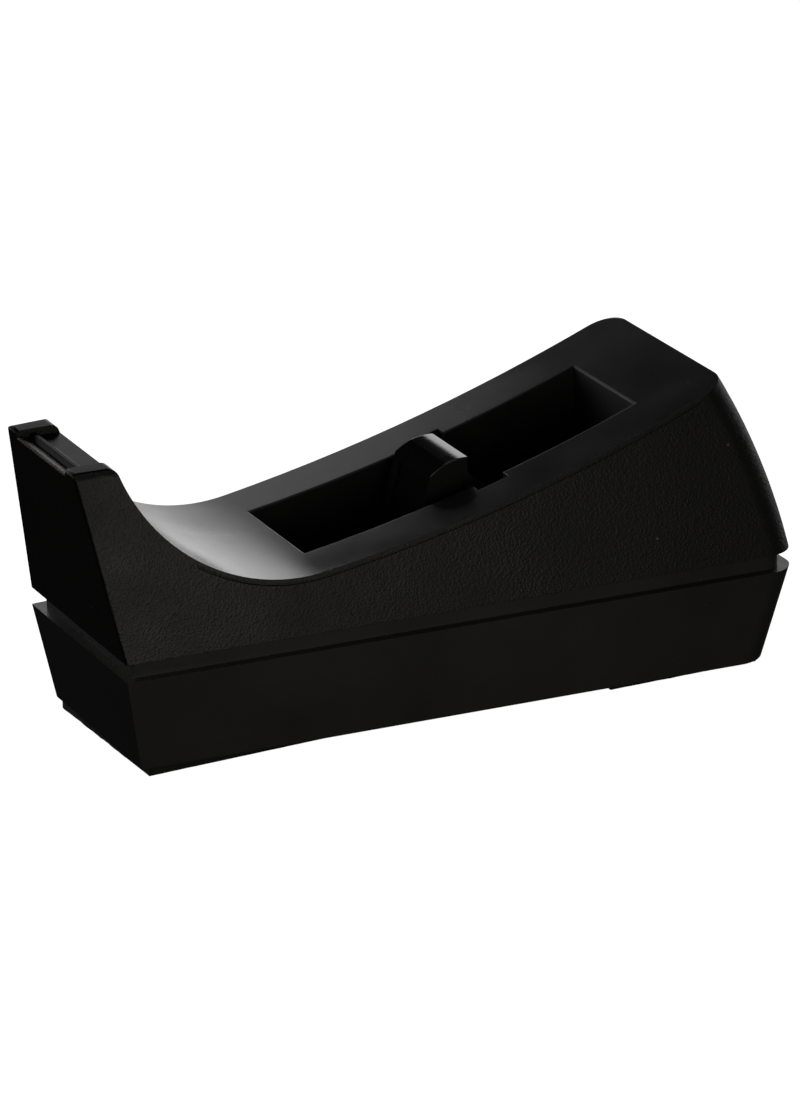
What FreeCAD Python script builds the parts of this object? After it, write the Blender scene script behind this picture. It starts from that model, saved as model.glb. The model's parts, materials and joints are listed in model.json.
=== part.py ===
"""Weighted desktop tape dispenser, as separate pieces in one frame.

Millimetres.  X runs along the length with the cutter at -X, Y across, +Z up.
The origin is on the table, under the middle of the object's length and width.
"""
import FreeCAD, Part
import math
import os

V = FreeCAD.Vector

# ---- overall sizes ---------------------------------------------------------
LENGTH = 158.0             # nose front to rear of the seam
HEIGHT = 67.0              # table to the top of the nose cheeks
FRONT_WIDTH = 55.4         # across the housing at the seam, front end
REAR_WIDTH = 73.4          # across the housing at the seam, rear end
NOSE_OVERHANG = 6.0        # how far the nose leans out past the seam

# ---- housing ---------------------------------------------------------------
PAD_T = 1.8                # foam under the tray
SEAM_SHARE = 0.401         # seam of the shell, as a share of the height
SEAM_GAP = 3.9             # height of the recessed band at the seam
BAND_INSET = 2.5           # how far that band stands back
WALL = 2.8                 # moulded wall of the shell and the tray
FLOOR_T = 2.4              # tray floor
TRAY_EDGE_R = 0.5          # bottom edge of the tray
LIP_T = 1.6                # tray lip that enters the shell
LIP_UP = 3.0               # how far the lip goes up inside the shell
LIP_FIT = 0.25
LEDGE_T = 2.5              # tray ledge that carries the lip
SIDE_DRAFT = 0.198         # shell sides: lean in per millimetre up
TRAY_IN_FRONT = 3.2        # tray bottom stands back from its top, front
TRAY_IN_SIDE = 3.4         # the same, each side
TRAY_IN_REAR = 5.5         # the same, rear
CORNER_R = 6.8             # upright rear corners
FRONT_EDGE_R = 0.7         # upright front corners
REAR_BOW = 1.6             # bulge of the rear face, seen from the side

# ---- saddle, seen from the side ---------------------------------------------
REAR_TOP_IN = 12.0         # top rear edge stands in from the seam
REAR_TOP_DROP = 1.8        # and lies below the nose
VALLEY_BACK = 46.0         # lowest point of the saddle, behind the nose front
VALLEY_SHARE = 0.581       # its height, as a share of the whole
VALLEY_R = 38.0            # hollow behind the nose
RAMP_START_SLOPE = 0.15    # slope where the hollow turns into the long ramp
CHEEK_R = 2.0              # rounded tops of the nose cheeks
NOSE_EDGE_R = 0.8          # front top edge of the cheeks
RIM_BEVEL = 0.35           # broken edge round the tape well
SHADOW_LINE_DROP = 0.9     # fine line under the edge of the saddle
SHADOW_LINE_W = 0.35
SHADOW_LINE_DEPTH = 0.3

# ---- nose channel and cutter -------------------------------------------------
CHANNEL_WIDTH = 28.0
CHEEK_UP = 1.7             # cheeks stand above the tape landing
LANDING_LENGTH = 8.6       # nose front to the rear edge of the landing
LANDING_FALL = 0.4         # landing drops a little to the rear
RIDGE_UP = 0.8             # ridge behind the blade, above the landing
RIDGE_W = 1.0
RIDGE_BACK = 4.2           # ridge to the rear edge of the landing
RIDGE_FACE = 1.3           # run of the slope in front of the ridge
BLADE_SEAT_DROP = 0.7      # blade bend lies this far below the landing
NOSE_SOLID = 14.0          # top of the nose that is solid plastic
BLADE_T = 0.5
BLADE_LIP = 2.4            # flat of the blade from its bend to the tooth tips
BLADE_TAIL = 6.0           # part of the blade pushed down into the nose
BLADE_TILT = 20.0          # tooth flat rises to the front, degrees
TOOTH_PITCH = 1.4
TOOTH_DEPTH = 0.9
BLADE_FIT = 0.06           # clearance of the blade in its slit
BLADE_SLIT_SPARE = 0.4     # slit is deeper than the tail
BLADE_SIDE_GAP = 0.3       # blade to each cheek

# ---- tape well ---------------------------------------------------------------
WELL_FORE_SHARE = 0.2506   # well in front of the roll axis, share of the length
WELL_AFT_SHARE = 0.2411    # and behind it
WELL_WIDTH = 30.2
WELL_FLOOR_Z = 8.5
WELL_WALL = 1.8

# ---- hub and its guides --------------------------------------------------------
CORE_R = 12.7              # inside of a one-inch tape core
CORE_PLAY = 0.2
CORE_SHARE = 0.581         # roll axis behind the nose front, share of the length
CORE_OVER_VALLEY = 0.3     # roll axis above the lowest point of the saddle
HUB_WIDTH = 18.6
HUB_BELOW = 6.2            # hub sizes below run from the roll axis
HUB_FRONT = 7.4            # front top corner of the core seat
HUB_TOE = 11.8             # front lower corner
HUB_TOE_BELOW = 4.2
HUB_REAR = 1.3
HUB_PLATE_T = 1.3          # end plates
HUB_SKIN_T = 1.8           # curved top and rear wall
HUB_RECESS = 1.2           # front wall stands back from the end plates
HUB_RECESS_UP = 8.4
HUB_EDGE_R = 0.4
NOTCH_FORE = 0.5           # notch in each rim, and the guide under it
NOTCH_AFT = 6.6
NOTCH_DEPTH = 3.0
GUIDE_BELOW = 5.2
LUG_PLAY = 0.3
LUG_UP = 4.8
SHOULDER_UP = 7.8          # where the arm leaves the core seat

# ---- base details ----------------------------------------------------------------
PAD_LENGTH_FRONT = 44.0
PAD_LENGTH_REAR = 35.5
PAD_INSET_FRONT = 1.1      # pad edge to tray edge, at the pad's front end
PAD_INSET_REAR = 2.9
PAD_MARGIN = 0.8           # pad stands back from the end of the tray
PAD_SKEW_FRONT = 1.9       # laid on by hand, degrees
PAD_SKEW_REAR = -0.4
SCREW_BACK = 18.0          # front pair, behind the nose front
SCREW_IN = 14.7            # screw axis to the outline of the seam, each side
SCREW_D = 2.9
SCREW_HEAD_D = 5.6
SCREW_HEAD_T = 1.9
SCREW_LEN = 14.0
SCREW_FIT = 0.05
DRIVE_D = 2.6
DRIVE_DEPTH = 1.1
HEAD_SINK = 2.5            # counterbore under the tray
SEAT_T = 2.0               # tray wall between the head and the shell boss
BOSS_D = 8.0
BOSS_GAP = 0.2
PLUG_IN = 20.0             # plug and rear screws, in from the rear of the seam
PLUG_D = 14.0
PLUG_RIM = 2.0             # rim stands out past the barrel
PLUG_RIM_T = 1.0
PLUG_T = 1.6
PLUG_DEPTH = 4.4
PLUG_FIT = 0.05
PLUG_SINK = 0.2            # rim lies this far inside its recess
FILL_GAP = 0.3             # sand stands this far off everything

# ---- worked out from the sizes above ------------------------------------------------
X_REAR = LENGTH / 2.0
X_NOSE = -LENGTH / 2.0
X_FRONT = X_NOSE + NOSE_OVERHANG
SEAM_Z = SEAM_SHARE * HEIGHT
TRAY_TOP_Z = SEAM_Z - SEAM_GAP
SIDE_FLARE = (REAR_WIDTH - FRONT_WIDTH) / 2.0 / (X_REAR - X_FRONT)
FRONT_LEAN = NOSE_OVERHANG / (HEIGHT - SEAM_Z)
TRAY_FLOOR_Z = PAD_T + FLOOR_T
REAR_TOP_X = X_REAR - REAR_TOP_IN
REAR_TOP_Z = HEIGHT - REAR_TOP_DROP
REAR_LEAN = REAR_TOP_IN / (REAR_TOP_Z - SEAM_Z)
LIP_INSET = WALL + REAR_LEAN * LIP_UP + LIP_FIT
LIP_TOP_Z = SEAM_Z + LIP_UP
VALLEY_X = X_NOSE + VALLEY_BACK
VALLEY_Z = VALLEY_SHARE * HEIGHT
LANDING_X = X_NOSE + LANDING_LENGTH
LANDING_Z = HEIGHT - CHEEK_UP
CORE_X = X_NOSE + CORE_SHARE * LENGTH
CORE_Z = VALLEY_Z + CORE_OVER_VALLEY
WELL_X0 = CORE_X - WELL_FORE_SHARE * LENGTH
WELL_X1 = CORE_X + WELL_AFT_SHARE * LENGTH
NOTCH_X0 = CORE_X - NOTCH_FORE
NOTCH_X1 = CORE_X + NOTCH_AFT
GUIDE_BOTTOM_Z = CORE_Z - GUIDE_BELOW
HUB_FRONT_X = CORE_X - HUB_FRONT
HUB_TOE_X = CORE_X - HUB_TOE
HUB_TOE_Z = CORE_Z - HUB_TOE_BELOW
HUB_REAR_X = CORE_X + HUB_REAR
HUB_BOTTOM_Z = CORE_Z - HUB_BELOW
LUG_TOP_Z = CORE_Z + LUG_UP
SHOULDER_Z = CORE_Z + SHOULDER_UP
PLUG_X = X_REAR - PLUG_IN
HALF_WELL = WELL_WIDTH / 2.0
HALF_HUB = HUB_WIDTH / 2.0
SKY = HEIGHT + 30.0        # above everything


def half_width(x, z_above_seam=0.0):
    """Half width of the shell at x, at a height above the seam."""
    return FRONT_WIDTH / 2.0 + SIDE_FLARE * (x - X_FRONT) - SIDE_DRAFT * z_above_seam


def arc(a, mid, b):
    return Part.Arc(a, mid, b).toShape()


def line(a, b):
    return Part.makeLine(a, b)


def prism(edges, y0, y1):
    """Solid between y0 and y1 from an outline drawn in the XZ plane at y = 0."""
    face = Part.Face(Part.Wire(edges))
    face.translate(V(0, y0, 0))
    return face.extrude(V(0, y1 - y0, 0))


def polygon_edges(points):
    ring = points + [points[0]]
    return [line(ring[i], ring[i + 1]) for i in range(len(points))]


def solid_between(lower, upper):
    """Flat-sided solid between two outlines with the same number of corners."""
    wires = [Part.Wire(polygon_edges(corners)) for corners in (lower, upper)]
    return Part.makeLoft(wires, True, True)


def box(x0, x1, y0, y1, z0, z1):
    return Part.makeBox(x1 - x0, y1 - y0, z1 - z0, V(x0, y0, z0))


def tube_z(radius, z0, z1, x, y):
    return Part.makeCylinder(radius, z1 - z0, V(x, y, z0), V(0, 0, 1))


def round_edges(shape, radius, wanted):
    """Fillet the edges that the test picks out."""
    edges = [e for e in shape.Edges if wanted(e)]
    return shape.makeFillet(radius, edges) if edges else shape


def upright_near(edge, x, reach):
    """True for an edge that stands up and has its lower end near x."""
    b = edge.BoundBox
    low = min(edge.Vertexes, key=lambda v: v.Z)
    return b.ZLength > 8.0 and b.YLength < b.ZLength and abs(low.X - x) < reach


# ---- outer forms --------------------------------------------------------------------

def plan_corners(x0, x1, inset, z):
    """Plan outline of the housing at the seam, inset, drawn at height z."""
    w0 = half_width(x0) - inset
    w1 = half_width(x1) - inset
    return [V(x0, -w0, z), V(x1, -w1, z), V(x1, w1, z), V(x0, w0, z)]


def wedge(inset, z0, z1):
    """Everything between the leaning side walls."""
    def outline(z):
        corners = []
        for x, side in ((X_NOSE - 20.0, -1), (X_REAR + 20.0, -1), (X_REAR + 20.0, 1), (X_NOSE - 20.0, 1)):
            corners.append(V(x, side * (half_width(x, z - SEAM_Z) - inset), z))
        return corners
    return solid_between(outline(z0), outline(z1))


def cheek_wedge(z0):
    """The same wedge up to the top of the nose, with rounded shoulders."""
    form = wedge(0.0, z0, HEIGHT)
    return round_edges(form, CHEEK_R, lambda e: e.BoundBox.ZMin > HEIGHT - 0.01
                       and e.BoundBox.XLength > LENGTH)


def saddle_points(offset):
    """Joints of the saddle line, offset down into the wall."""
    r = VALLEY_R + offset
    cx, cz = VALLEY_X, VALLEY_Z + VALLEY_R
    turn = math.atan(RAMP_START_SLOPE)
    t1 = V(cx + r * math.sin(turn), 0, cz - r * math.cos(turn))
    valley = V(cx, 0, cz - r)
    end_slope = math.atan2(REAR_TOP_Z - VALLEY_Z, REAR_TOP_X - VALLEY_X) * 1.55
    end = V(REAR_TOP_X + offset * math.sin(end_slope), 0,
            REAR_TOP_Z - offset * math.cos(end_slope))
    normal = V(-math.sin(turn), 0, math.cos(turn))
    chord = end.sub(t1)
    ramp_r = chord.Length ** 2 / (2.0 * normal.dot(chord))
    centre = t1.add(normal.multiply(ramp_r))
    middle = t1.add(end).multiply(0.5).sub(centre)
    ramp_mid = centre.add(middle.normalize().multiply(ramp_r))
    return cx, cz, r, valley, t1, ramp_mid, end


def block_outline(offset, z_bottom):
    """Side view of the housing before the saddle is cut: leaning front, bowed rear."""
    front_bottom = V(X_FRONT + offset - FRONT_LEAN * (z_bottom - SEAM_Z), 0, z_bottom)
    front_top = V(X_FRONT + offset - FRONT_LEAN * (SKY - SEAM_Z), 0, SKY)
    top = V(REAR_TOP_X - offset, 0, REAR_TOP_Z)
    bottom = V(X_REAR - offset, 0, SEAM_Z)
    chord = top.sub(bottom)
    outward = V(chord.z, 0, -chord.x).normalize()
    bow = bottom.add(top).multiply(0.5).add(outward.multiply(REAR_BOW))
    curve = Part.Circle(bottom, bow, top)
    spare = 3.0
    a0 = math.atan2(bottom.z - curve.Center.z, bottom.x - curve.Center.x)
    a1 = math.atan2(top.z - curve.Center.z, top.x - curve.Center.x) + spare / curve.Radius

    def on_curve(angle):
        return curve.Center.add(V(math.cos(angle), 0, math.sin(angle)).multiply(curve.Radius))

    crest = on_curve(a1)
    edges = [line(front_bottom, front_top), line(front_top, V(REAR_TOP_X - 20.0, 0, SKY)),
             line(V(REAR_TOP_X - 20.0, 0, SKY), crest),
             arc(crest, on_curve((a0 + a1) / 2.0), bottom)]
    if z_bottom < SEAM_Z:
        low = V(bottom.x, 0, z_bottom)
        return edges + [line(bottom, low), line(low, front_bottom)]
    return edges + [line(bottom, front_bottom)]


def saddle_outline(offset, z_low, nose_r=0.0, cheek_r=0.0):
    """Side view of everything below the nose top, the hollow and the long ramp."""
    top_z = HEIGHT - offset
    cx, cz, r, valley, t1, ramp_mid, end = saddle_points(offset)
    left = X_NOSE - 30.0
    edges = []
    start = V(left, 0, top_z)
    if nose_r:
        side = math.sqrt(1.0 + FRONT_LEAN ** 2)
        front_x = X_FRONT + offset - FRONT_LEAN * (top_z - nose_r - SEAM_Z)
        centre = V(front_x + nose_r * side, 0, top_z - nose_r)
        touch = centre.add(V(-nose_r / side, 0, -nose_r * FRONT_LEAN / side))
        start = V(left, 0, touch.z)
        mid = centre.add(V(-1, 0, 1).normalize().multiply(nose_r))
        edges += [line(start, touch), arc(touch, mid, V(centre.x, 0, top_z))]
        nose_top = V(centre.x, 0, top_z)
    else:
        nose_top = start
    reach = r + cheek_r
    rise = cz - (top_z - cheek_r)
    centre = V(cx - math.sqrt(reach * reach - rise * rise), 0, top_z - cheek_r)
    inwards = V(centre.x - cx, 0, centre.z - cz).normalize()
    foot = V(cx, 0, cz).add(V(inwards.x, 0, inwards.z).multiply(r))
    edges.append(line(nose_top, V(centre.x, 0, top_z)))
    if cheek_r:
        turn = math.atan2(-inwards.z, -inwards.x)
        half = (turn + math.pi / 2.0) / 2.0
        mid = centre.add(V(math.cos(half), 0, math.sin(half)).multiply(cheek_r))
        edges.append(arc(V(centre.x, 0, top_z), mid, foot))
    side_angle = math.atan2(cz - foot.z, cx - foot.x)
    half = (side_angle + math.pi / 2.0) / 2.0
    edges.append(arc(foot, V(cx - r * math.cos(half), 0, cz - r * math.sin(half)), valley))
    half = math.atan(RAMP_START_SLOPE) / 2.0
    edges.append(arc(valley, V(cx + r * math.sin(half), 0, cz - r * math.cos(half)), t1))
    edges.append(arc(t1, ramp_mid, end))
    way_out = end.sub(ramp_mid).normalize().multiply(25.0)
    out = end.add(way_out)
    corners = [end, out, V(out.x, 0, z_low), V(left, 0, z_low), start]
    edges += [line(corners[i], corners[i + 1]) for i in range(len(corners) - 1)]
    return edges


def shell_form(offset, z_bottom, nose_r=0.0, cheek_r=0.0, front_r=0.0):
    """Closed form of the upper housing, offset inwards."""
    wide = REAR_WIDTH
    block = prism(block_outline(offset, z_bottom), -wide, wide)
    block = block.common(wedge(offset, z_bottom - 1.0, SKY + 1.0))
    rear_r = max(CORNER_R - offset, 1.0)
    block = round_edges(block, rear_r, lambda e: upright_near(e, X_REAR - offset, 1.5))
    if front_r:
        block = round_edges(block, front_r, lambda e: upright_near(e, X_FRONT + offset, 1.5))
    form = block.common(prism(saddle_outline(offset, z_bottom - 1.0, nose_r, cheek_r), -wide, wide))
    if cheek_r:
        form = form.common(cheek_wedge(z_bottom - 1.0))
    return form


def tray_form(offset, z0, z1):
    """Closed form of the tapering tray, offset inwards."""
    def outline(z):
        down = (TRAY_TOP_Z - z) / (TRAY_TOP_Z - PAD_T)
        x0 = X_FRONT + offset + TRAY_IN_FRONT * down
        x1 = X_REAR - offset - TRAY_IN_REAR * down
        return plan_corners(x0, x1, offset + TRAY_IN_SIDE * down, z)
    return round_rear_corners(solid_between(outline(z0), outline(z1)), offset)


def round_rear_corners(form, offset):
    """Round the two upright rear corners of a plain form."""
    tall = 0.9 * form.BoundBox.ZLength
    rear = [e for e in form.Edges if e.BoundBox.ZLength > tall and e.BoundBox.XMin > 0]
    return form.makeFillet(max(CORNER_R - offset, 1.0), rear)


# ---- upper shell ---------------------------------------------------------------------

def well_space(extra=0.0):
    """Space of the tape well, opened to the sky; extra makes its outer wall."""
    return box(WELL_X0 - extra, WELL_X1 + extra, -HALF_WELL - extra, HALF_WELL + extra,
               WELL_FLOOR_Z - extra, SKY)


def guide_space(side, extra=0.0):
    """Notch in one rim and the guide below it for the hub's lug."""
    reach = side * (HALF_WELL + NOTCH_DEPTH + extra)
    y0, y1 = min(0.0, reach), max(0.0, reach)
    return box(NOTCH_X0 - extra, NOTCH_X1 + extra, y0, y1, GUIDE_BOTTOM_Z - extra, SKY)


def screw_places():
    for x, width in ((X_NOSE + SCREW_BACK, FRONT_WIDTH), (PLUG_X, REAR_WIDTH)):
        for side in (-1, 1):
            yield x, side * (width / 2.0 - SCREW_IN)


def boss_bottom_z():
    return PAD_T + HEAD_SINK + SEAT_T + BOSS_GAP


def ridge_rear_x():
    return LANDING_X - RIDGE_BACK


def blade_bend():
    """Inner corner of the blade, on the floor of its seat."""
    return V(ridge_rear_x() - RIDGE_W - RIDGE_FACE, 0, LANDING_Z - BLADE_SEAT_DROP)


def channel_cut():
    """Space above the tape landing, the ridge and the blade seat."""
    front = X_NOSE - 5.0
    rear = LANDING_X + 6.0
    bend = blade_bend()
    ridge_x = ridge_rear_x()
    ridge_z = LANDING_Z + RIDGE_UP
    rise = math.tan(math.radians(BLADE_TILT))
    points = [
        V(front, 0, bend.z + (bend.x - front) * rise),
        bend,
        V(ridge_x - RIDGE_W, 0, ridge_z),
        V(ridge_x, 0, ridge_z),
        V(ridge_x + RIDGE_UP, 0, LANDING_Z),
        V(rear, 0, LANDING_Z - LANDING_FALL),
        V(rear, 0, SKY),
        V(front, 0, SKY),
    ]
    return prism(polygon_edges(points), -CHANNEL_WIDTH / 2.0, CHANNEL_WIDTH / 2.0)


def blade_slit():
    """Slit behind the blade seat that holds the blade's tail."""
    bend = blade_bend()
    half = CHANNEL_WIDTH / 2.0
    return box(bend.x - BLADE_FIT, bend.x + BLADE_T + BLADE_FIT, -half, half,
               bend.z - BLADE_TAIL - BLADE_SLIT_SPARE, bend.z + RIDGE_FACE)


def shadow_line():
    """Thin groove in both side walls, just below the edge of the saddle."""
    low = SHADOW_LINE_DROP + SHADOW_LINE_W
    wide = REAR_WIDTH
    upper = prism(saddle_outline(SHADOW_LINE_DROP, SEAM_Z), -wide, wide)
    lower = prism(saddle_outline(low, SEAM_Z), -wide, wide)
    behind = box(VALLEY_X - 22.0, REAR_TOP_X - CORNER_R, -wide, wide, SEAM_Z + 4.0, SKY)
    return upper.cut(lower).cut(wedge(SHADOW_LINE_DEPTH, SEAM_Z - 1.0, SKY)).common(behind)


def well_walls():
    """Outer block of the tape well with its two guide pockets."""
    walls = well_space(WELL_WALL)
    for side in (-1, 1):
        walls = walls.fuse(guide_space(side, WELL_WALL))
    return walls


def upper_shell():
    outer = shell_form(0.0, SEAM_Z, NOSE_EDGE_R, CHEEK_R, FRONT_EDGE_R).cut(channel_cut())
    inner = shell_form(WALL, SEAM_Z - 1.0)
    solid_nose = box(X_NOSE - 5.0, LANDING_X + 4.0, -REAR_WIDTH, REAR_WIDTH,
                     HEIGHT - NOSE_SOLID, SKY)
    below_seam = box(-LENGTH, LENGTH, -LENGTH, LENGTH, 0, SEAM_Z)
    reach = outer.fuse(below_seam)
    shell = outer.cut(inner.cut(solid_nose))
    shell = shell.fuse(well_walls().common(reach))
    for x, y in screw_places():
        boss = tube_z(BOSS_D / 2.0, boss_bottom_z(), SKY, x, y)
        pilot = tube_z(SCREW_D / 2.0 + SCREW_FIT, 0, boss_bottom_z() + SCREW_LEN, x, y)
        shell = shell.fuse(boss.common(reach)).cut(pilot)
    shell = shell.cut(well_space()).removeSplitter()
    shell = shell.makeChamfer(RIM_BEVEL, [e for e in shell.Edges if well_rim(e)])
    for side in (-1, 1):
        shell = shell.cut(guide_space(side))
    return shell.cut(blade_slit()).cut(shadow_line()).removeSplitter()


def well_rim(e):
    """True for the edges round the mouth of the well."""
    b = e.BoundBox
    along = min(abs(b.YMin - s * HALF_WELL) + abs(b.YMax - s * HALF_WELL) for s in (-1, 1)) < 0.01
    across = abs(b.YLength - WELL_WIDTH) < 0.01 and b.XLength < 0.01
    in_well = b.XMin > WELL_X0 - 0.01 and b.XMax < WELL_X1 + 0.01
    on_saddle = b.ZMin > SEAM_Z + LIP_UP
    return in_well and on_saddle and ((along and b.XLength > 0.01) or across)


# ---- base tray -------------------------------------------------------------------------

def seam_collar(offset, z0, z1):
    """Upright form that follows the seam outline, inset by offset."""
    x0, x1 = X_FRONT + offset, X_REAR - offset
    form = solid_between(plan_corners(x0, x1, offset, z0), plan_corners(x0, x1, offset, z1))
    return round_rear_corners(form, offset)


def base_tray():
    tray = tray_form(0.0, PAD_T, TRAY_TOP_Z)
    tray = round_edges(tray, TRAY_EDGE_R, lambda e: e.BoundBox.ZMax < PAD_T + 0.01)
    tray = tray.fuse(seam_collar(BAND_INSET, TRAY_TOP_Z - 1.0, SEAM_Z))
    tray = tray.fuse(seam_collar(LIP_INSET, TRAY_TOP_Z, LIP_TOP_Z))
    tray = tray.cut(tray_form(WALL, TRAY_FLOOR_Z, TRAY_TOP_Z - LEDGE_T))
    throat_z = TRAY_TOP_Z - LEDGE_T - 1.0
    tray = tray.cut(seam_collar(LIP_INSET + LIP_T, throat_z, LIP_TOP_Z + 1.0))
    seat_top = boss_bottom_z() - BOSS_GAP
    for x, y in screw_places():
        tray = tray.fuse(tube_z(BOSS_D / 2.0 + 1.0, PAD_T + 1.0, seat_top, x, y))
        tray = tray.cut(tube_z(SCREW_HEAD_D / 2.0 + 0.3, 0, PAD_T + HEAD_SINK, x, y))
        tray = tray.cut(tube_z(SCREW_D / 2.0 + 0.2, 0, SKY, x, y))
    tray = tray.cut(tube_z(PLUG_D / 2.0, 0, TRAY_FLOOR_Z + 1.0, PLUG_X, 0))
    rim_r = PLUG_D / 2.0 + PLUG_RIM + 0.2
    tray = tray.cut(tube_z(rim_r, 0, PAD_T + PLUG_RIM_T + PLUG_SINK, PLUG_X, 0))
    return tray.removeSplitter()


def fill_plug():
    z0 = PAD_T + PLUG_SINK / 2.0
    barrel_r = PLUG_D / 2.0 - PLUG_FIT
    plug = tube_z(PLUG_D / 2.0 + PLUG_RIM, z0, z0 + PLUG_RIM_T, PLUG_X, 0)
    plug = plug.fuse(tube_z(barrel_r, z0, PAD_T + PLUG_DEPTH, PLUG_X, 0))
    hollow = tube_z(barrel_r - PLUG_T, z0 + PLUG_T, PAD_T + PLUG_DEPTH + 1.0, PLUG_X, 0)
    return plug.cut(hollow).removeSplitter()


def sand_ballast():
    """Packed sand that fills the closed housing round the well and the bosses."""
    g = FILL_GAP
    low = tray_form(WALL + g, TRAY_FLOOR_Z + g, TRAY_TOP_Z - LEDGE_T - g)
    throat_z = TRAY_TOP_Z - LEDGE_T - 1.0
    throat = seam_collar(LIP_INSET + LIP_T + g, throat_z, LIP_TOP_Z + 1.0)
    high = shell_form(WALL + g, SEAM_Z - 1.0)
    high = high.common(box(-LENGTH, LENGTH, -LENGTH, LENGTH, LIP_TOP_Z + g, SKY))
    nose = box(X_NOSE - 5.0, LANDING_X + 4.0 + g, -REAR_WIDTH, REAR_WIDTH,
               HEIGHT - NOSE_SOLID - g, SKY)
    sand = low.fuse(throat).fuse(high.cut(nose))
    sand = sand.cut(well_space(WELL_WALL + g))
    for side in (-1, 1):
        sand = sand.cut(guide_space(side, WELL_WALL + g))
    for x, y in screw_places():
        sand = sand.cut(tube_z(BOSS_D / 2.0 + 1.0 + g, 0, boss_bottom_z(), x, y))
        sand = sand.cut(tube_z(BOSS_D / 2.0 + g, 0, SKY, x, y))
    sand = sand.cut(tube_z(PLUG_D / 2.0 + g, 0, PAD_T + PLUG_DEPTH + g, PLUG_X, 0))
    return sand.removeSplitter()


# ---- fasteners and pads --------------------------------------------------------------------

def case_screw(x, y):
    """Pan-head self-tapping screw, head down in the tray, cross drive."""
    z0 = PAD_T + HEAD_SINK - SCREW_HEAD_T
    head = tube_z(SCREW_HEAD_D / 2.0, z0, z0 + SCREW_HEAD_T, x, y)
    head = round_edges(head, 0.6, lambda e: e.BoundBox.ZMax < z0 + 0.01 and e.BoundBox.XLength > 1)
    tip_z = z0 + SCREW_HEAD_T + SCREW_LEN - 1.5
    shank = tube_z(SCREW_D / 2.0, z0 + 0.5, tip_z - SCREW_D / 2.0, x, y)
    tip = Part.makeCone(SCREW_D / 2.0, 0.4, SCREW_D / 2.0, V(x, y, tip_z - SCREW_D / 2.0), V(0, 0, 1))
    screw = head.fuse(shank).fuse(tip)
    half = DRIVE_D / 2.0
    for wide, deep in ((half, 0.35), (0.35, half)):
        screw = screw.cut(box(x - wide, x + wide, y - deep, y + deep, z0 - 1.0, z0 + DRIVE_DEPTH))
    return screw.removeSplitter()


def foam_pad(x0, length, width, skew):
    pad = box(x0, x0 + length, -width / 2.0, width / 2.0, 0.0, PAD_T)
    pad.rotate(V(x0 + length / 2.0, 0, 0), V(0, 0, 1), skew)
    return pad


def tray_bottom_half_width(x):
    return half_width(x) - TRAY_IN_SIDE


def front_foam_pad():
    x0 = X_FRONT + TRAY_IN_FRONT + PAD_MARGIN
    width = 2.0 * (tray_bottom_half_width(x0) - PAD_INSET_FRONT)
    return foam_pad(x0, PAD_LENGTH_FRONT, width, PAD_SKEW_FRONT)


def rear_foam_pad():
    x0 = X_REAR - TRAY_IN_REAR - PAD_MARGIN - PAD_LENGTH_REAR
    width = 2.0 * (tray_bottom_half_width(x0) - PAD_INSET_REAR)
    return foam_pad(x0, PAD_LENGTH_REAR, width, PAD_SKEW_REAR)


# ---- cutter and hub ----------------------------------------------------------------------------

def cutter_blade():
    """Bent steel strip: a serrated flat to the front, a tail pushed into the slit."""
    half = CHANNEL_WIDTH / 2.0 - BLADE_SIDE_GAP
    count = int(2.0 * half / TOOTH_PITCH)
    pitch = 2.0 * half / count
    edge = []
    for i in range(count):
        y = -half + i * pitch
        edge += [V(-BLADE_LIP + TOOTH_DEPTH, y, 0), V(-BLADE_LIP, y + pitch / 2.0, 0)]
    edge.append(V(-BLADE_LIP + TOOTH_DEPTH, half, 0))
    outline = edge + [V(BLADE_T, half, 0), V(BLADE_T, -half, 0)]
    flat = Part.Face(Part.Wire(polygon_edges(outline))).extrude(V(0, 0, BLADE_T))
    flat.rotate(V(0, 0, 0), V(0, 1, 0), BLADE_TILT)
    bend = blade_bend()
    flat.translate(V(bend.x, 0, bend.z + BLADE_FIT))
    tail = box(bend.x, bend.x + BLADE_T, -half, half, bend.z - BLADE_TAIL, bend.z + BLADE_T)
    return flat.fuse(tail).common(box(-LENGTH, bend.x + BLADE_T, -half, half, 0, SKY)).removeSplitter()


def hub_side_outline(inset=0.0):
    """Side view of the hub: core arc on top, flared toe, step down to the arms."""
    r = CORE_R - CORE_PLAY - inset

    def on_core(x):
        return V(x, 0, CORE_Z + math.sqrt(r * r - (x - CORE_X) ** 2))

    front = on_core(HUB_FRONT_X + inset)
    rear = on_core(HUB_REAR_X - inset)
    arm_x = NOTCH_X1 - LUG_PLAY - inset
    arm_z = LUG_TOP_Z - inset
    bottom = HUB_BOTTOM_Z - (2.0 if inset else 0.0)
    points = [rear, V(rear.x, 0, SHOULDER_Z + 1.2 - inset), V(rear.x + 2.4, 0, arm_z), V(arm_x, 0, arm_z),
              V(arm_x, 0, bottom), V(HUB_TOE_X + 1.2 + inset, 0, bottom),
              V(HUB_TOE_X + inset, 0, HUB_TOE_Z), front]
    edges = [line(points[i], points[i + 1]) for i in range(len(points) - 1)]
    return edges + [arc(front, on_core((front.x + rear.x) / 2.0), rear)]


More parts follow.
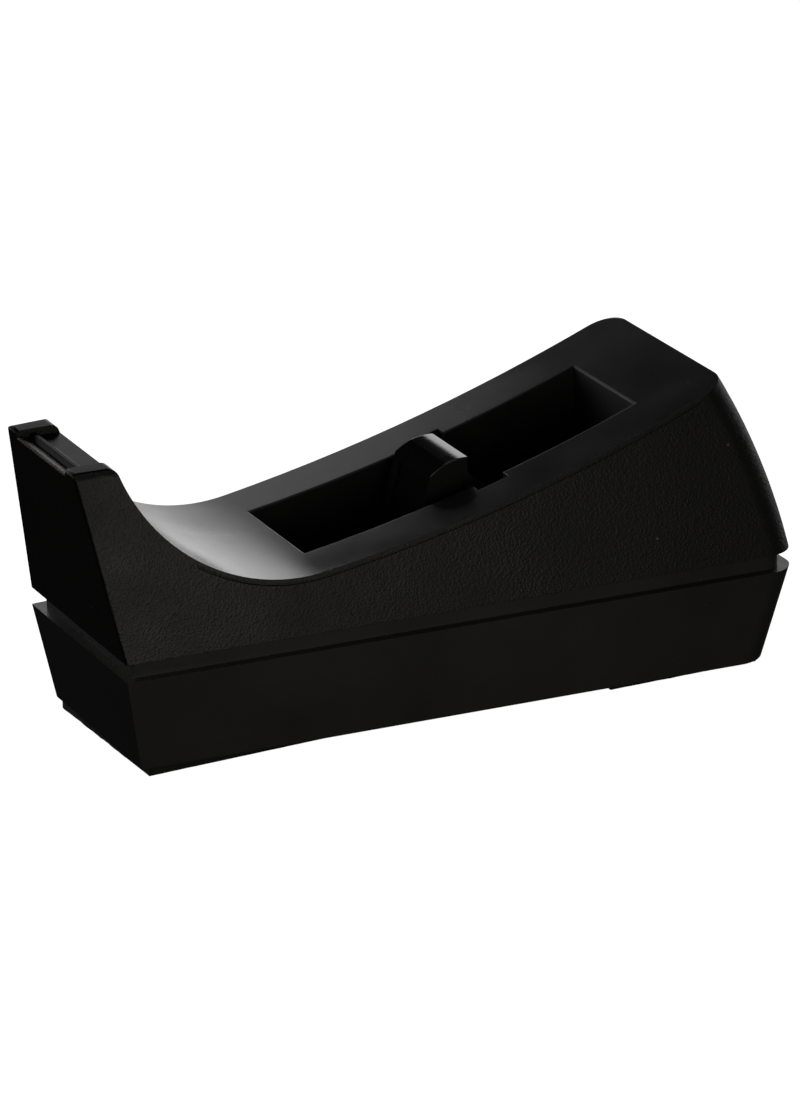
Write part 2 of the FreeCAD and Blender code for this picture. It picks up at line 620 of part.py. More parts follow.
def core_hub():
    """Saddle for the tape core, with an arm to each side that drops into a guide."""
    saddle = prism(hub_side_outline(), -HALF_HUB, HALF_HUB)
    saddle = round_edges(saddle, HUB_EDGE_R, lambda e: e.BoundBox.YLength < 0.01
                         and e.BoundBox.ZMin > CORE_Z and e.BoundBox.XMax < HUB_REAR_X + 0.01)
    room = HALF_HUB - HUB_PLATE_T
    hollow = prism(hub_side_outline(HUB_SKIN_T), -room, room)
    lean = (HUB_FRONT_X - HUB_TOE_X) / (CORE_Z + 10.0 - HUB_TOE_Z)
    low_x = HUB_TOE_X + HUB_RECESS - lean * (HUB_TOE_Z - HUB_BOTTOM_Z + 1.0)
    high_z = CORE_Z + HUB_RECESS_UP
    high_x = HUB_TOE_X + HUB_RECESS + lean * (high_z - HUB_TOE_Z)
    front_gap = [V(low_x - 8.0, 0, HUB_BOTTOM_Z - 1.0), V(low_x, 0, HUB_BOTTOM_Z - 1.0),
                 V(high_x, 0, high_z), V(high_x - 8.0, 0, high_z + 1.0)]
    saddle = saddle.cut(prism(polygon_edges(front_gap), -room, room))
    reach = HALF_WELL + NOTCH_DEPTH - LUG_PLAY
    lug_z = GUIDE_BOTTOM_Z + LUG_PLAY
    hub = saddle
    for side in (-1, 1):
        root = side * (HALF_HUB - HUB_PLATE_T)
        points = [V(0, root, lug_z), V(0, side * reach, lug_z), V(0, side * reach, LUG_TOP_Z),
                  V(0, side * HALF_WELL, LUG_TOP_Z), V(0, root, SHOULDER_Z)]
        arm = Part.Face(Part.Wire(polygon_edges(points)))
        arm.translate(V(NOTCH_X0 + LUG_PLAY, 0, 0))
        arm = arm.extrude(V(NOTCH_X1 - NOTCH_X0 - 2.0 * LUG_PLAY, 0, 0))
        hub = hub.fuse(arm.common(prism(hub_side_outline(), -reach - 1.0, reach + 1.0)))
    return hub.cut(hollow).removeSplitter()


parts = {
    "upper_shell": upper_shell(),
    "base_tray": base_tray(),
    "sand_ballast": sand_ballast(),
    "fill_plug": fill_plug(),
    "case_screws": Part.makeCompound([case_screw(x, y) for x, y in screw_places()]),
    "front_foam_pad": front_foam_pad(),
    "rear_foam_pad": rear_foam_pad(),
    "cutter_blade": cutter_blade(),
    "core_hub": core_hub(),
}

os.makedirs("parts", exist_ok=True)
for name, shape in parts.items():
    shape.exportStep("parts/" + name + ".step")
    print(name, shape.ShapeType, len(shape.Solids), shape.isValid(), round(shape.Volume / 1000, 2))
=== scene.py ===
import json
import math

import bmesh
import bpy
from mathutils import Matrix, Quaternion, Vector, noise

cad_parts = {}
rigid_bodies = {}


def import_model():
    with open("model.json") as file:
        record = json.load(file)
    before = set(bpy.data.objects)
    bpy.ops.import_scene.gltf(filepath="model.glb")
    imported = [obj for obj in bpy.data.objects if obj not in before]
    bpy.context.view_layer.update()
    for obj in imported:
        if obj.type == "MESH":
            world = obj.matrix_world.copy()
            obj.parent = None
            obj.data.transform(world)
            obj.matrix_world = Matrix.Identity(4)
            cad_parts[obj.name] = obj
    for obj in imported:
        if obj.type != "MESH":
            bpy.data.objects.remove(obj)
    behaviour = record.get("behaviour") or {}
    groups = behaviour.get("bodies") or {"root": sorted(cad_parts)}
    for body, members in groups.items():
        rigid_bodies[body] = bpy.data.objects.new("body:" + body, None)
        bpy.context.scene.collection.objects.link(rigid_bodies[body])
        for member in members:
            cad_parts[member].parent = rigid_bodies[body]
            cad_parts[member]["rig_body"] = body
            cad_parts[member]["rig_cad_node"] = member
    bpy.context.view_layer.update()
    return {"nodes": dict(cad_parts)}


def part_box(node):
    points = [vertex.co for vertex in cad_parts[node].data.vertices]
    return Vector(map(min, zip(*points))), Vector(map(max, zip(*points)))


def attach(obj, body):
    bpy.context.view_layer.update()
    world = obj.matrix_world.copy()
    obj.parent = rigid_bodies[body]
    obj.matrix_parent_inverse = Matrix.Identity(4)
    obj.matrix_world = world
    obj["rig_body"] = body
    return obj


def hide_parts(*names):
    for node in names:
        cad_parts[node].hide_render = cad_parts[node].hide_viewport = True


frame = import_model()
MM = 0.001


# ---- table, camera and studio light --------------------------------------------------
# The dispenser stands on a plain pale table, seen from the front left and a little above.
# A wide white backdrop stands behind it, the room in front is dim, a small softbox stands
# close in front and a weak light hangs overhead.

def grey(value):
    return (value, value, value, 1.0)


def only(piece):
    """Make this the one selected and active object."""
    bpy.ops.object.select_all(action="DESELECT")
    piece.select_set(True)
    bpy.context.view_layer.objects.active = piece


def node(tree, kind, at, **settings):
    """Add a shader node and set its own fields and its inputs by name."""
    made = tree.nodes.new(kind)
    made.location = at
    for key, value in settings.items():
        if hasattr(made, key):
            setattr(made, key, value)
        else:
            made.inputs[key.replace("_", " ")].default_value = value
    return made


def set_stops(ramp, stops):
    """Give a colour ramp these stops, from low to high."""
    elements = ramp.color_ramp.elements
    while len(elements) < len(stops):
        elements.new(1.0)
    for element, (place, colour) in zip(elements, stops):
        element.position = place
        element.color = colour


def set_range(mapped, low, high, out_low=0.0, out_high=1.0):
    """Set the four ends of a Map Range node."""
    for socket, value in (("From Min", low), ("From Max", high), ("To Min", out_low), ("To Max", out_high)):
        mapped.inputs[socket].default_value = value


def new_surface(name, **settings):
    """A material with one Principled BSDF, whose plain values are set on its sockets."""
    surface = bpy.data.materials.new(name)
    surface.use_nodes = True
    tree = surface.node_tree
    tree.nodes.clear()
    shader = tree.nodes.new("ShaderNodeBsdfPrincipled")
    output = node(tree, "ShaderNodeOutputMaterial", (300, 0))
    tree.links.new(shader.outputs["BSDF"], output.inputs["Surface"])
    for key, value in settings.items():
        shader.inputs[key.replace("_", " ")].default_value = value
    return surface, tree, shader


def area_light(name, place, aim, size, watts, tint):
    light = bpy.data.lights.new(name, "AREA")
    light.shape = "RECTANGLE"
    light.size, light.size_y = size
    light.energy = watts
    light.color = tint
    lamp = bpy.data.objects.new(name, light)
    bpy.context.scene.collection.objects.link(lamp)
    lamp.location = place
    lamp.rotation_euler = (Vector(aim) - Vector(place)).to_track_quat("-Z", "Y").to_euler()


view_target = Vector((3.0, 0.0, 31.8)) * MM
view_azimuth = math.radians(-23.323)
view_elevation = math.radians(19.619)
view_roll = math.radians(-2.5)
view_distance = 1326.1 * MM
towards_lens = Vector((math.sin(view_azimuth) * math.cos(view_elevation),
                       -math.cos(view_azimuth) * math.cos(view_elevation),
                       math.sin(view_elevation)))
camera_data = bpy.data.cameras.new("camera")
camera_data.lens = 203.0
picture_height = 1096.0
camera_data.shift_x = -6.28 / picture_height
camera_data.shift_y = -6.77 / picture_height
camera_data.clip_start = 0.05
camera_data.clip_end = 50.0
camera = bpy.data.objects.new("camera", camera_data)
bpy.context.scene.collection.objects.link(camera)
camera.location = view_target + towards_lens * view_distance
camera.rotation_mode = "QUATERNION"
camera.rotation_quaternion = ((-towards_lens).to_track_quat("-Z", "Y")
                              @ Quaternion((0.0, 0.0, 1.0), view_roll))
bpy.context.scene.camera = camera
bpy.context.scene.view_settings.view_transform = "Standard"

bpy.ops.object.select_all(action="DESELECT")
bpy.ops.mesh.primitive_plane_add(size=12.0, location=(0.0, 0.0, 0.0))
table = bpy.context.object
table.name = "table"
table_surface, tree, shader = new_surface("pale_table", Roughness=0.9, Specular_IOR_Level=0.0)
table_noise = node(tree, "ShaderNodeTexNoise", (-700, 0), Scale=3.0, Detail=2.0)
table_ramp = node(tree, "ShaderNodeValToRGB", (-450, 0))
set_stops(table_ramp, ((0.0, grey(0.90)), (1.0, grey(0.94))))
tree.links.new(table_noise.outputs["Fac"], table_ramp.inputs["Fac"])
tree.links.new(table_ramp.outputs["Color"], shader.inputs["Base Color"])
tree.links.new(table_ramp.outputs["Color"], shader.inputs["Emission Color"])
shader.inputs["Emission Strength"].default_value = 1.06
table.data.materials.append(table_surface)
table.visible_glossy = False
table.visible_diffuse = False

studio = bpy.data.worlds.new("studio")
bpy.context.scene.world = studio
studio.use_nodes = True
tree = studio.node_tree
tree.nodes.clear()
direction = node(tree, "ShaderNodeTexCoord", (-1200, 0))
axes = node(tree, "ShaderNodeSeparateXYZ", (-1000, 0))
# how bright the backdrop is at each height (sine of the angle above the horizon)
dark_low, white_low, white_high, dark_high = -0.174, -0.1002, 0.348, 0.3885
scale_low, scale_high = -0.3, 0.6
height_scale = node(tree, "ShaderNodeMapRange", (-900, 150))
set_range(height_scale, scale_low, scale_high)
height_ramp = node(tree, "ShaderNodeValToRGB", (-700, 150))
backdrop_greys = ((dark_low, 0.015), (white_low, 1.0), (white_high, 1.0), (dark_high, 0.006))
set_stops(height_ramp, [((height - scale_low) / (scale_high - scale_low), grey(level))
                        for height, level in backdrop_greys])
behind_ramp = node(tree, "ShaderNodeValToRGB", (-700, -150))
set_stops(behind_ramp, ((0.05, grey(0.05)), (0.45, grey(1.0))))
both = node(tree, "ShaderNodeMix", (-350, 0), data_type="RGBA", blend_type="MULTIPLY")
both.inputs["Factor"].default_value = 1.0
backdrop = node(tree, "ShaderNodeBackground", (-100, 0), Strength=1.5)
seen_white = node(tree, "ShaderNodeBackground", (-100, -200), Strength=1.0)
seen_white.inputs["Color"].default_value = grey(1.0)
ray = node(tree, "ShaderNodeLightPath", (-100, 350))
choose = node(tree, "ShaderNodeMixShader", (150, 0))
world_output = node(tree, "ShaderNodeOutputWorld", (350, 0))
tree.links.new(direction.outputs["Generated"], axes.inputs[0])
tree.links.new(axes.outputs["Z"], height_scale.inputs["Value"])
tree.links.new(height_scale.outputs["Result"], height_ramp.inputs["Fac"])
tree.links.new(axes.outputs["Y"], behind_ramp.inputs["Fac"])
tree.links.new(height_ramp.outputs["Color"], both.inputs["A"])
tree.links.new(behind_ramp.outputs["Color"], both.inputs["B"])
tree.links.new(both.outputs["Result"], backdrop.inputs["Color"])
tree.links.new(ray.outputs["Is Camera Ray"], choose.inputs["Fac"])
tree.links.new(backdrop.outputs[0], choose.inputs[1])
tree.links.new(seen_white.outputs[0], choose.inputs[2])
tree.links.new(choose.outputs[0], world_output.inputs["Surface"])

area_light("near_softbox", (-0.055, -0.28, 0.085), (-0.01, 0.0, 0.04), (0.16, 0.12), 0.145,
           (1.0, 0.97, 0.91))
area_light("overhead", (0.1, 0.1, 1.4), (0.0, 0.0, 0.0), (0.9, 0.9), 1.2, (0.92, 0.95, 1.0))


# ---- foam pads ---------------------------------------------------------------------------
# Two strips of black closed-cell foam, die-cut from sheet and stuck by hand under the tray.
# Their cut edges are slightly ragged and a little rounded.

def surface_effect(name, inputs, outputs):
    """An empty shader node group with these float inputs and outputs."""
    group = bpy.data.node_groups.new(name, "ShaderNodeTree")
    for label, value in inputs:
        socket = group.interface.new_socket(label, in_out="INPUT", socket_type="NodeSocketFloat")
        socket.default_value = value
    for label in outputs:
        group.interface.new_socket(label, in_out="OUTPUT", socket_type="NodeSocketFloat")
    return (group, node(group, "NodeGroupInput", (-900, 0)), node(group, "NodeGroupOutput", (600, 0)))


grain, grain_in, grain_out = surface_effect(
    "moulded_grain", [("Grains per metre", 3000.0)], ["Height", "Tone"])
place = node(grain, "ShaderNodeTexCoord", (-900, 250))
pits = node(grain, "ShaderNodeTexNoise", (-600, 200), Detail=3.0, Roughness=0.6)
cells = node(grain, "ShaderNodeTexVoronoi", (-600, -100), feature="SMOOTH_F1", Smoothness=0.6)
tone = node(grain, "ShaderNodeTexNoise", (-600, -400), Scale=38.0, Detail=3.0, Roughness=0.55)
mixed = node(grain, "ShaderNodeMath", (-300, 100), operation="ADD")
grain.links.new(place.outputs["Object"], pits.inputs["Vector"])
grain.links.new(place.outputs["Object"], cells.inputs["Vector"])
grain.links.new(place.outputs["Object"], tone.inputs["Vector"])
grain.links.new(grain_in.outputs[0], pits.inputs["Scale"])
grain.links.new(grain_in.outputs[0], cells.inputs["Scale"])
grain.links.new(pits.outputs["Fac"], mixed.inputs[0])
grain.links.new(cells.outputs["Distance"], mixed.inputs[1])
grain.links.new(mixed.outputs[0], grain_out.inputs["Height"])
grain.links.new(tone.outputs["Fac"], grain_out.inputs["Tone"])


def effect(tree, group, at, **values):
    made = tree.nodes.new("ShaderNodeGroup")
    made.node_tree = group
    made.location = at
    for key, value in values.items():
        made.inputs[key.replace("_", " ")].default_value = value
    return made


def bumped(tree, shader, height, strength, depth):
    """Feed a height into the shader's normal; depth is in metres."""
    bump = node(tree, "ShaderNodeBump", (-250, -400), Strength=strength, Distance=depth)
    tree.links.new(height, bump.inputs["Height"])
    tree.links.new(bump.outputs["Normal"], shader.inputs["Normal"])


def ramp_between(tree, value, target, dark, light, at, start=0.3, end=0.7):
    """Colour or grey ramp from a value into a socket."""
    ramp = node(tree, "ShaderNodeValToRGB", at)
    set_stops(ramp, ((start, dark), (end, light)))
    tree.links.new(value, ramp.inputs["Fac"])
    tree.links.new(ramp.outputs["Color"], target)


foam, tree, shader = new_surface("black_foam", Specular_IOR_Level=0.25)
foam_cells = effect(tree, grain, (-700, 0), Grains_per_metre=2600.0)
ramp_between(tree, foam_cells.outputs["Height"], shader.inputs["Base Color"],
             grey(0.004), grey(0.018), (-400, 200), 0.3, 1.1)
ramp_between(tree, foam_cells.outputs["Tone"], shader.inputs["Roughness"],
             grey(0.85), grey(0.98), (-400, -50))
bumped(tree, shader, foam_cells.outputs["Height"], 0.8, 0.0003)

cut_back = 0.5 * MM
edge_round = 0.22 * MM
coarse_rag, fine_rag = 0.12 * MM, 0.10 * MM
for pad_node, pad_name, turn in (("front_foam_pad", "front_pad", 1.9), ("rear_foam_pad", "rear_pad", -0.4)):
    low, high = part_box(pad_node)
    middle = (low + high) / 2.0
    # the solid's own length and width, taken back out of its turned box
    box_x, box_y = high.x - low.x, high.y - low.y
    c, s = abs(math.cos(math.radians(turn))), abs(math.sin(math.radians(turn)))
    long_side = (box_x * c - box_y * s) / (c * c - s * s)
    wide_side = (box_y * c - box_x * s) / (c * c - s * s)
    bpy.ops.object.select_all(action="DESELECT")
    bpy.ops.mesh.primitive_cube_add(size=1.0, location=middle)
    pad = bpy.context.object
    pad.name = pad_name
    pad.scale = (long_side - cut_back, wide_side - cut_back, high.z - low.z)
    pad.rotation_euler = (0.0, 0.0, math.radians(turn))
    bpy.ops.object.transform_apply(location=True, rotation=True, scale=True)
    bpy.ops.object.mode_set(mode="EDIT")
    bpy.ops.mesh.select_all(action="SELECT")
    bpy.ops.mesh.bevel(offset=edge_round, segments=2, affect="EDGES")
    bpy.ops.mesh.select_all(action="SELECT")
    bpy.ops.mesh.subdivide(number_cuts=5)
    bpy.ops.mesh.subdivide(number_cuts=5)
    bpy.ops.object.mode_set(mode="OBJECT")
    for vertex in pad.data.vertices:
        out = Vector((vertex.co.x - middle.x, vertex.co.y - middle.y, 0.0))
        near_edge = max(abs(out.x) / (long_side / 2.0), abs(out.y) / (wide_side / 2.0))
        if near_edge > 0.97:
            rag = noise.noise(vertex.co * 900.0) * fine_rag + noise.noise(vertex.co * 260.0) * coarse_rag
            vertex.co += out.normalized() * rag
        vertex.co.z = max(vertex.co.z, low.z)
    pad.data.materials.append(foam)
    bpy.ops.object.shade_smooth_by_angle(angle=math.radians(40.0))
    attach(pad, "housing")
    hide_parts(pad_node)


# ---- base tray ---------------------------------------------------------------------------
# Injection-moulded black plastic, tapering to the table, with the recessed band of the seam
# moulded on it. Its sides are smoother than the shell's, and its top edges are just broken.

def moulded_copy(node_name, name, edge, clamp=True, already_round=None):
    """A merged copy of a CAD solid whose sharp edges are broken, as those of a moulding are.

    already_round says of a point whether the solid is rounded there and its edges stay.
    """
    sharp_corner, smooth_corner = math.radians(32.0), math.radians(50.0)
    source = frame["nodes"][node_name]
    piece = source.copy()
    piece.data = source.data.copy()
    piece.parent = None
    piece.name = name
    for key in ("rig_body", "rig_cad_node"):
        del piece[key]
    bpy.context.scene.collection.objects.link(piece)
    only(piece)
    bpy.ops.mesh.customdata_custom_splitnormals_clear()
    bpy.ops.object.mode_set(mode="EDIT")
    bpy.ops.mesh.select_all(action="SELECT")
    bpy.ops.mesh.remove_doubles(threshold=0.03 * MM)
    bpy.ops.mesh.dissolve_limited(angle_limit=math.radians(0.05))
    bpy.ops.object.mode_set(mode="OBJECT")
    mesh = bmesh.new()
    mesh.from_mesh(piece.data)
    weight = mesh.edges.layers.float.new("bevel_weight_edge")
    for side in mesh.edges:
        middle = (side.verts[0].co + side.verts[1].co) / 2.0
        left_alone = already_round is not None and already_round(middle)
        if side.is_manifold and side.calc_face_angle() > sharp_corner and not left_alone:
            side[weight] = 1.0
    mesh.to_mesh(piece.data)
    mesh.free()
    breaker = piece.modifiers.new("broken_edges", "BEVEL")
    breaker.limit_method = "WEIGHT"
    breaker.width = edge
    breaker.segments = 2
    breaker.use_clamp_overlap = clamp
    bpy.ops.object.modifier_apply(modifier=breaker.name)
    bpy.ops.object.shade_smooth_by_angle(angle=smooth_corner)
    flats = piece.modifiers.new("flats_stay_flat", "WEIGHTED_NORMAL")
    flats.keep_sharp = True
    flats.weight = 80
    bpy.ops.object.modifier_apply(modifier=flats.name)
    piece.data.materials.clear()
    return piece


marks, marks_in, marks_out = surface_effect(
    "handling_marks", [("Specks per metre", 160.0)], ["Dust", "Scratch", "Smudge"])
place = node(marks, "ShaderNodeTexCoord", (-900, 300))
specks = node(marks, "ShaderNodeTexVoronoi", (-600, 400), feature="F1")
speck_size = node(marks, "ShaderNodeMath", (-350, 400), operation="LESS_THAN")
speck_size.inputs[1].default_value = 0.045
speck_field = node(marks, "ShaderNodeTexNoise", (-600, 150), Scale=31.0, Detail=1.0)
speck_where = node(marks, "ShaderNodeMath", (-350, 150), operation="GREATER_THAN")
speck_where.inputs[1].default_value = 0.56
dust_out = node(marks, "ShaderNodeMath", (-100, 300), operation="MULTIPLY")
stretch = node(marks, "ShaderNodeMapping", (-650, -100))
stretch.inputs["Scale"].default_value = (9.0, 160.0, 160.0)
stretch.inputs["Rotation"].default_value = (0.0, 0.25, 0.35)
hairs = node(marks, "ShaderNodeTexNoise", (-400, -100), Scale=3.0, Detail=2.0, Roughness=0.7)
hair_cut = node(marks, "ShaderNodeMapRange", (-150, -100))
set_range(hair_cut, 0.70, 0.78)
smudge = node(marks, "ShaderNodeTexNoise", (-400, -400), Scale=55.0, Detail=4.0, Roughness=0.6)
for target in (specks, speck_field, stretch, smudge):
    marks.links.new(place.outputs["Object"], target.inputs["Vector"])
marks.links.new(marks_in.outputs[0], specks.inputs["Scale"])
marks.links.new(specks.outputs["Distance"], speck_size.inputs[0])
marks.links.new(speck_field.outputs["Fac"], speck_where.inputs[0])
marks.links.new(speck_size.outputs[0], dust_out.inputs[0])
marks.links.new(speck_where.outputs[0], dust_out.inputs[1])
marks.links.new(stretch.outputs["Vector"], hairs.inputs["Vector"])
marks.links.new(hairs.outputs["Fac"], hair_cut.inputs["Value"])
marks.links.new(dust_out.outputs[0], marks_out.inputs["Dust"])
marks.links.new(hair_cut.outputs["Result"], marks_out.inputs["Scratch"])
marks.links.new(smudge.outputs["Fac"], marks_out.inputs["Smudge"])


def black_plastic(name, dark, light, rough, grain_size, grain_depth, dust, **settings):
    """Moulded black plastic: uneven tone, grain in the normal, specks of dust."""
    surface, tree, shader = new_surface(name, **settings)
    texture = effect(tree, grain, (-900, 0), Grains_per_metre=grain_size)
    worn = effect(tree, marks, (-900, -300))
    dusty = node(tree, "ShaderNodeMix", (-300, 250), data_type="RGBA")
    dusty.inputs["B"].default_value = (dust, dust * 0.95, dust * 0.88, 1.0)
    ramp_between(tree, texture.outputs["Tone"], dusty.inputs["A"], dark, light, (-650, 250))
    tree.links.new(worn.outputs["Dust"], dusty.inputs["Factor"])
    tree.links.new(dusty.outputs["Result"], shader.inputs["Base Color"])
    smooth, dull = rough
    ramp_between(tree, worn.outputs["Smudge"], shader.inputs["Roughness"],
                 grey(smooth), grey(dull), (-600, -50))
    bumped(tree, shader, texture.outputs["Height"], 1.0, grain_depth)
    return surface


# the tray's sides are painted much lighter than the shell's black: painted light for the light their
# down-leaning faces miss
tray_plastic_painted_light = black_plastic("tray_plastic_painted_light", (0.0300, 0.0296, 0.0264, 1), (0.0410, 0.0403, 0.0362, 1),
                             (0.30, 0.40), 2300.0, 0.00001, 0.05, Specular_IOR_Level=0.22)
tray = moulded_copy("base_tray", "tray", 0.22 * MM)
# the same plastic painted near-black on the faces turned to the front: painted shade
front_painted_shade = black_plastic("tray_front_painted_shade", (0.0034, 0.0033, 0.0030, 1), (0.0056, 0.0054, 0.0048, 1),
                               (0.26, 0.36), 2300.0, 0.00001, 0.05, Specular_IOR_Level=0.10)
for surface in (tray_plastic_painted_light, front_painted_shade):
    tray.data.materials.append(surface)
# faces turned to the front get the painted shade, the rest the painted light
for face in tray.data.polygons:
    face.material_index = 1 if face.normal.x < -0.6 else 0
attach(tray, "housing")
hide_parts("base_tray")


# ---- ballast, plug and screws -------------------------------------------------------------
# Packed sand fills the closed housing through a hole in the tray, which a plastic plug
# closes. Four plated self-tapping screws hold the shell down. The rear pad hides the plug.

sand, tree, shader = new_surface("packed_sand", Specular_IOR_Level=0.2)
sand_grains = effect(tree, grain, (-800, 0), Grains_per_metre=1500.0)
ramp_between(tree, sand_grains.outputs["Height"], shader.inputs["Base Color"],
             (0.20, 0.15, 0.09, 1), (0.50, 0.42, 0.30, 1), (-450, 200), 0.4, 1.2)
ramp_between(tree, sand_grains.outputs["Tone"], shader.inputs["Roughness"],
             grey(0.85), grey(0.97), (-450, -50))
bumped(tree, shader, sand_grains.outputs["Height"], 1.0, 0.0004)
plug_plastic = black_plastic("plug_plastic", grey(0.008), grey(0.014),
                             (0.35, 0.50), 1800.0, 0.00001, 0.05)
plated, tree, shader = new_surface("plated_steel", Metallic=1.0)
plate_tone = effect(tree, marks, (-800, 0))
ramp_between(tree, plate_tone.outputs["Smudge"], shader.inputs["Base Color"],
             (0.50, 0.51, 0.53, 1), (0.70, 0.71, 0.72, 1), (-450, 200))
ramp_between(tree, plate_tone.outputs["Smudge"], shader.inputs["Roughness"],
             grey(0.20), grey(0.38), (-450, -50))
bumped(tree, shader, plate_tone.outputs["Scratch"], 0.4, 0.00002)
for node_name, surface in (("sand_ballast", sand), ("fill_plug", plug_plastic), ("case_screws", plated)):
    frame["nodes"][node_name].data.materials.clear()
    frame["nodes"][node_name].data.materials.append(surface)


# ---- upper shell ---------------------------------------------------------------------------
# One black moulding: grained side walls, a satin saddle that the tape runs over, and the
# bare, darker walls of the tape well. A fine line is moulded just below the saddle's edge.

side_plastic = black_plastic("side_grain", (0.0046, 0.0043, 0.0037, 1), (0.0078, 0.0073, 0.0062, 1),
                             (0.46, 0.58), 1900.0, 0.00008, 0.12, Specular_IOR_Level=0.40)
saddle_plastic = black_plastic("saddle_satin", (0.0060, 0.0060, 0.0066, 1), (0.0090, 0.0090, 0.0098, 1),
                               (0.13, 0.19), 3600.0, 0.000004, 0.08)
well_plastic = black_plastic("well_walls", (0.0065, 0.0065, 0.0062, 1), (0.0100, 0.0100, 0.0095, 1),
                             (0.40, 0.55), 2000.0, 0.00001, 0.03, Specular_IOR_Level=0.16)
nose_plastic = black_plastic("nose_satin", (0.0048, 0.0047, 0.0042, 1), (0.0076, 0.0073, 0.0065, 1),
                             (0.22, 0.32), 2300.0, 0.00001, 0.05, Specular_IOR_Level=0.015)

# the saddle is duller towards its far side, most of all in front of the well
tree = saddle_plastic.node_tree
shader = tree.nodes["Principled BSDF"]
across = node(tree, "ShaderNodeTexCoord", (-1300, -300))
across_axes = node(tree, "ShaderNodeSeparateXYZ", (-1100, -300))
far_side = node(tree, "ShaderNodeMapRange", (-900, -300), interpolation_type="SMOOTHSTEP")
set_range(far_side, -0.026, 0.026, 0.0, 0.18)
towards_rear = node(tree, "ShaderNodeMapRange", (-900, -600), interpolation_type="SMOOTHSTEP")
set_range(towards_rear, 0.005, 0.060, 1.0, 0.15)
rougher = node(tree, "ShaderNodeMath", (-350, -150), operation="MULTIPLY_ADD")
tree.links.new(across_axes.outputs["X"], towards_rear.inputs["Value"])
tree.links.new(across.outputs["Object"], across_axes.inputs[0])
tree.links.new(across_axes.outputs["Y"], far_side.inputs["Value"])
tree.links.new(shader.inputs["Roughness"].links[0].from_socket, rougher.inputs[2])
tree.links.new(far_side.outputs["Result"], rougher.inputs[0])
tree.links.new(towards_rear.outputs["Result"], rougher.inputs[1])
tree.links.new(rougher.outputs[0], shader.inputs["Roughness"])


def front_corner(point):
    """The upright front corners, which the solid already has as roundings."""
    return point.x < -70.0 * MM and 28.0 * MM < point.z < 64.5 * MM and abs(point.y) > 20.0 * MM


shell = moulded_copy("upper_shell", "shell", 0.13 * MM, clamp=False, already_round=front_corner)
for surface in (side_plastic, saddle_plastic, well_plastic, nose_plastic):
    shell.data.materials.append(surface)
use_saddle, use_well, use_nose = 1, 2, 3
well_front_x, well_rear_x, well_side_y = -26.9 * MM, 51.0 * MM, 18.1 * MM
rear_rim_x, rear_rim_end_x, rear_rim_y = 49.5 * MM, 52.0 * MM, 15.5 * MM
inside_z, saddle_low_z, nose_low_z, landing_rear_x = 20.0 * MM, 36.0 * MM, 57.0 * MM, -69.5 * MM
for face in shell.data.polygons:
    x, y, z = face.center
    facing = face.normal
    in_well = well_front_x < x < well_rear_x and abs(y) < well_side_y and abs(facing.z) < 0.5
    rear_rim = rear_rim_x < x < rear_rim_end_x and abs(y) < rear_rim_y and facing.x < -0.4
    if in_well or rear_rim or z < inside_z:
        face.material_index = use_well
    elif facing.z > 0.55 and z > saddle_low_z and x > landing_rear_x:
        face.material_index = use_saddle
    elif facing.x < -0.6 or (x < landing_rear_x and z > nose_low_z and abs(facing.y) < 0.5):
        face.material_index = use_nose
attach(shell, "housing")
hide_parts("upper_shell")


# ---- cutter blade ---------------------------------------------------------------------------
# A strip of spring steel with a row of punched teeth, bent once and pressed into a
# slit in the nose. Its flat is painted near-black as painted shade, and the faces across the teeth are
# painted bright as a painted highlight.

# the flat of the blade, painted near-black as painted shade
steel, tree, shader = new_surface("blade_steel", Metallic=1.0)
rolled = node(tree, "ShaderNodeTexCoord", (-1100, 0))
rolled_way = node(tree, "ShaderNodeMapping", (-900, 0))
rolled_way.inputs["Scale"].default_value = (4000.0, 60.0, 4000.0)
rolled_lines = node(tree, "ShaderNodeTexNoise", (-700, 0), Scale=1.0, Detail=3.0)
tree.links.new(rolled.outputs["Object"], rolled_way.inputs["Vector"])
tree.links.new(rolled_way.outputs["Vector"], rolled_lines.inputs["Vector"])
ramp_between(tree, rolled_lines.outputs["Fac"], shader.inputs["Base Color"],
             (0.012, 0.011, 0.010, 1), (0.035, 0.032, 0.027, 1), (-400, 200))
ramp_between(tree, rolled_lines.outputs["Fac"], shader.inputs["Roughness"],
             grey(0.35), grey(0.50), (-400, -50))
bumped(tree, shader, rolled_lines.outputs["Fac"], 0.5, 0.00001)
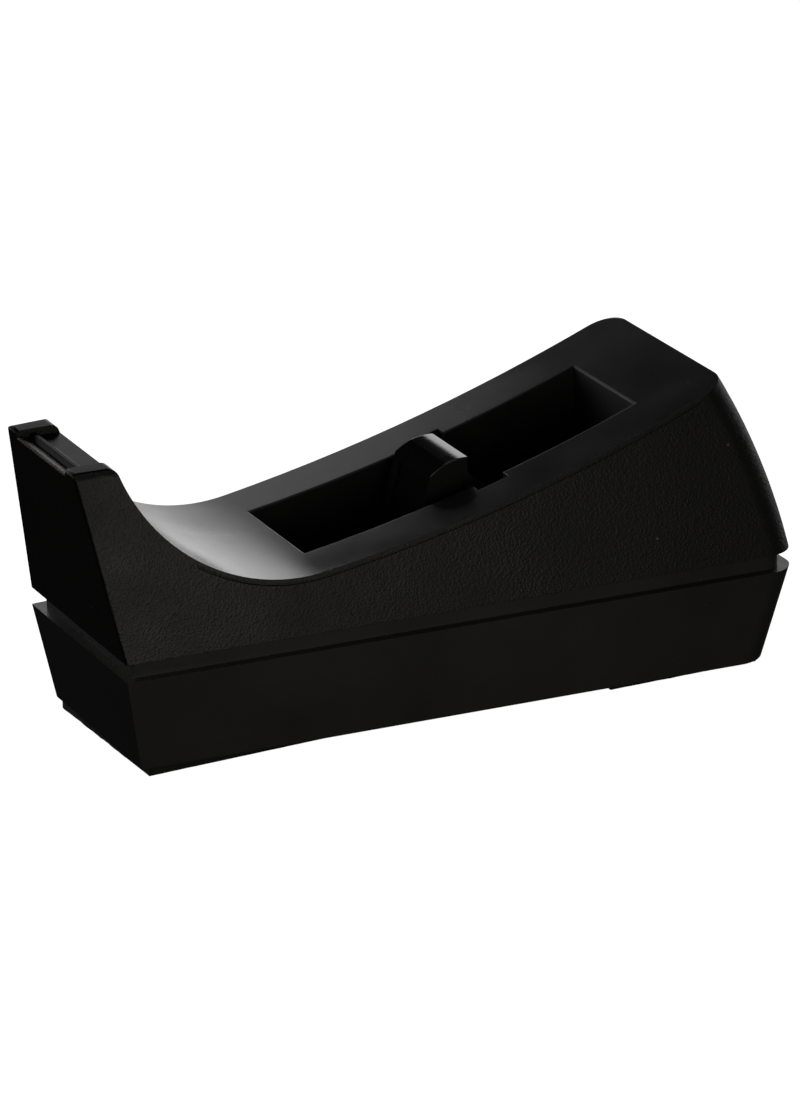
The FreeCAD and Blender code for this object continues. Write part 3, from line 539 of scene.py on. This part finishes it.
# the faces across the teeth, painted bright as a painted highlight
teeth_highlight, tree, shader = new_surface("teeth_painted_highlight", Metallic=1.0)
teeth_highlight_tone = effect(tree, marks, (-800, 0))
ramp_between(tree, teeth_highlight_tone.outputs["Smudge"], shader.inputs["Base Color"],
             (0.32, 0.29, 0.24, 1), (0.52, 0.48, 0.41, 1), (-450, 200))
ramp_between(tree, teeth_highlight_tone.outputs["Smudge"], shader.inputs["Roughness"],
             grey(0.25), grey(0.40), (-450, -50))
blade = moulded_copy("cutter_blade", "blade", 0.05 * MM)
for surface in (steel, teeth_highlight):
    blade.data.materials.append(surface)
tooth_depth, blade_flat = 1.1 * MM, 0.88
tooth_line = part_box("cutter_blade")[0].x + tooth_depth
# faces across the front of the teeth get the painted highlight, the rest the painted shade
for face in blade.data.polygons:
    highlight_face = face.center.x < tooth_line and abs(face.normal.z) < blade_flat
    face.material_index = 1 if highlight_face else 0
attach(blade, "housing")
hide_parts("cutter_blade")


# ---- core hub ---------------------------------------------------------------------------------
# A small glossy black moulding that the tape core slides round on. Its two arms drop into
# the guides below the notches, and it lifts straight out.

gloss = black_plastic("hub_gloss", (0.0030, 0.0030, 0.0032, 1), (0.0045, 0.0045, 0.0048, 1),
                      (0.05, 0.11), 900.0, 0.000004, 0.05, Specular_IOR_Level=0.90)
matt = black_plastic("hub_matt", (0.0060, 0.0060, 0.0058, 1), (0.0085, 0.0085, 0.0080, 1),
                     (0.30, 0.42), 900.0, 0.000004, 0.05, Specular_IOR_Level=0.0)
# the end plates: the same black moulding painted lighter, as painted light
plate_painted_light = black_plastic("hub_plate_painted_light", (0.0090, 0.0090, 0.0085, 1), (0.0130, 0.0130, 0.0120, 1),
                      (0.20, 0.30), 900.0, 0.000004, 0.05, Specular_IOR_Level=0.40)
hub = moulded_copy("core_hub", "hub_saddle", 0.16 * MM)
for surface in (gloss, matt, plate_painted_light):
    hub.data.materials.append(surface)
use_matt, use_plate_painted_light = 1, 2
seat_depth = 5.0 * MM
seat_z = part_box("core_hub")[1].z - seat_depth
# faces turned to the sides get the painted light of the end plates
for face in hub.data.polygons:
    if abs(face.normal.y) > 0.7:
        face.material_index = use_plate_painted_light
    elif face.normal.x < -0.30 or face.center.z < seat_z:
        face.material_index = use_matt
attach(hub, "hub")
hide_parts("core_hub")
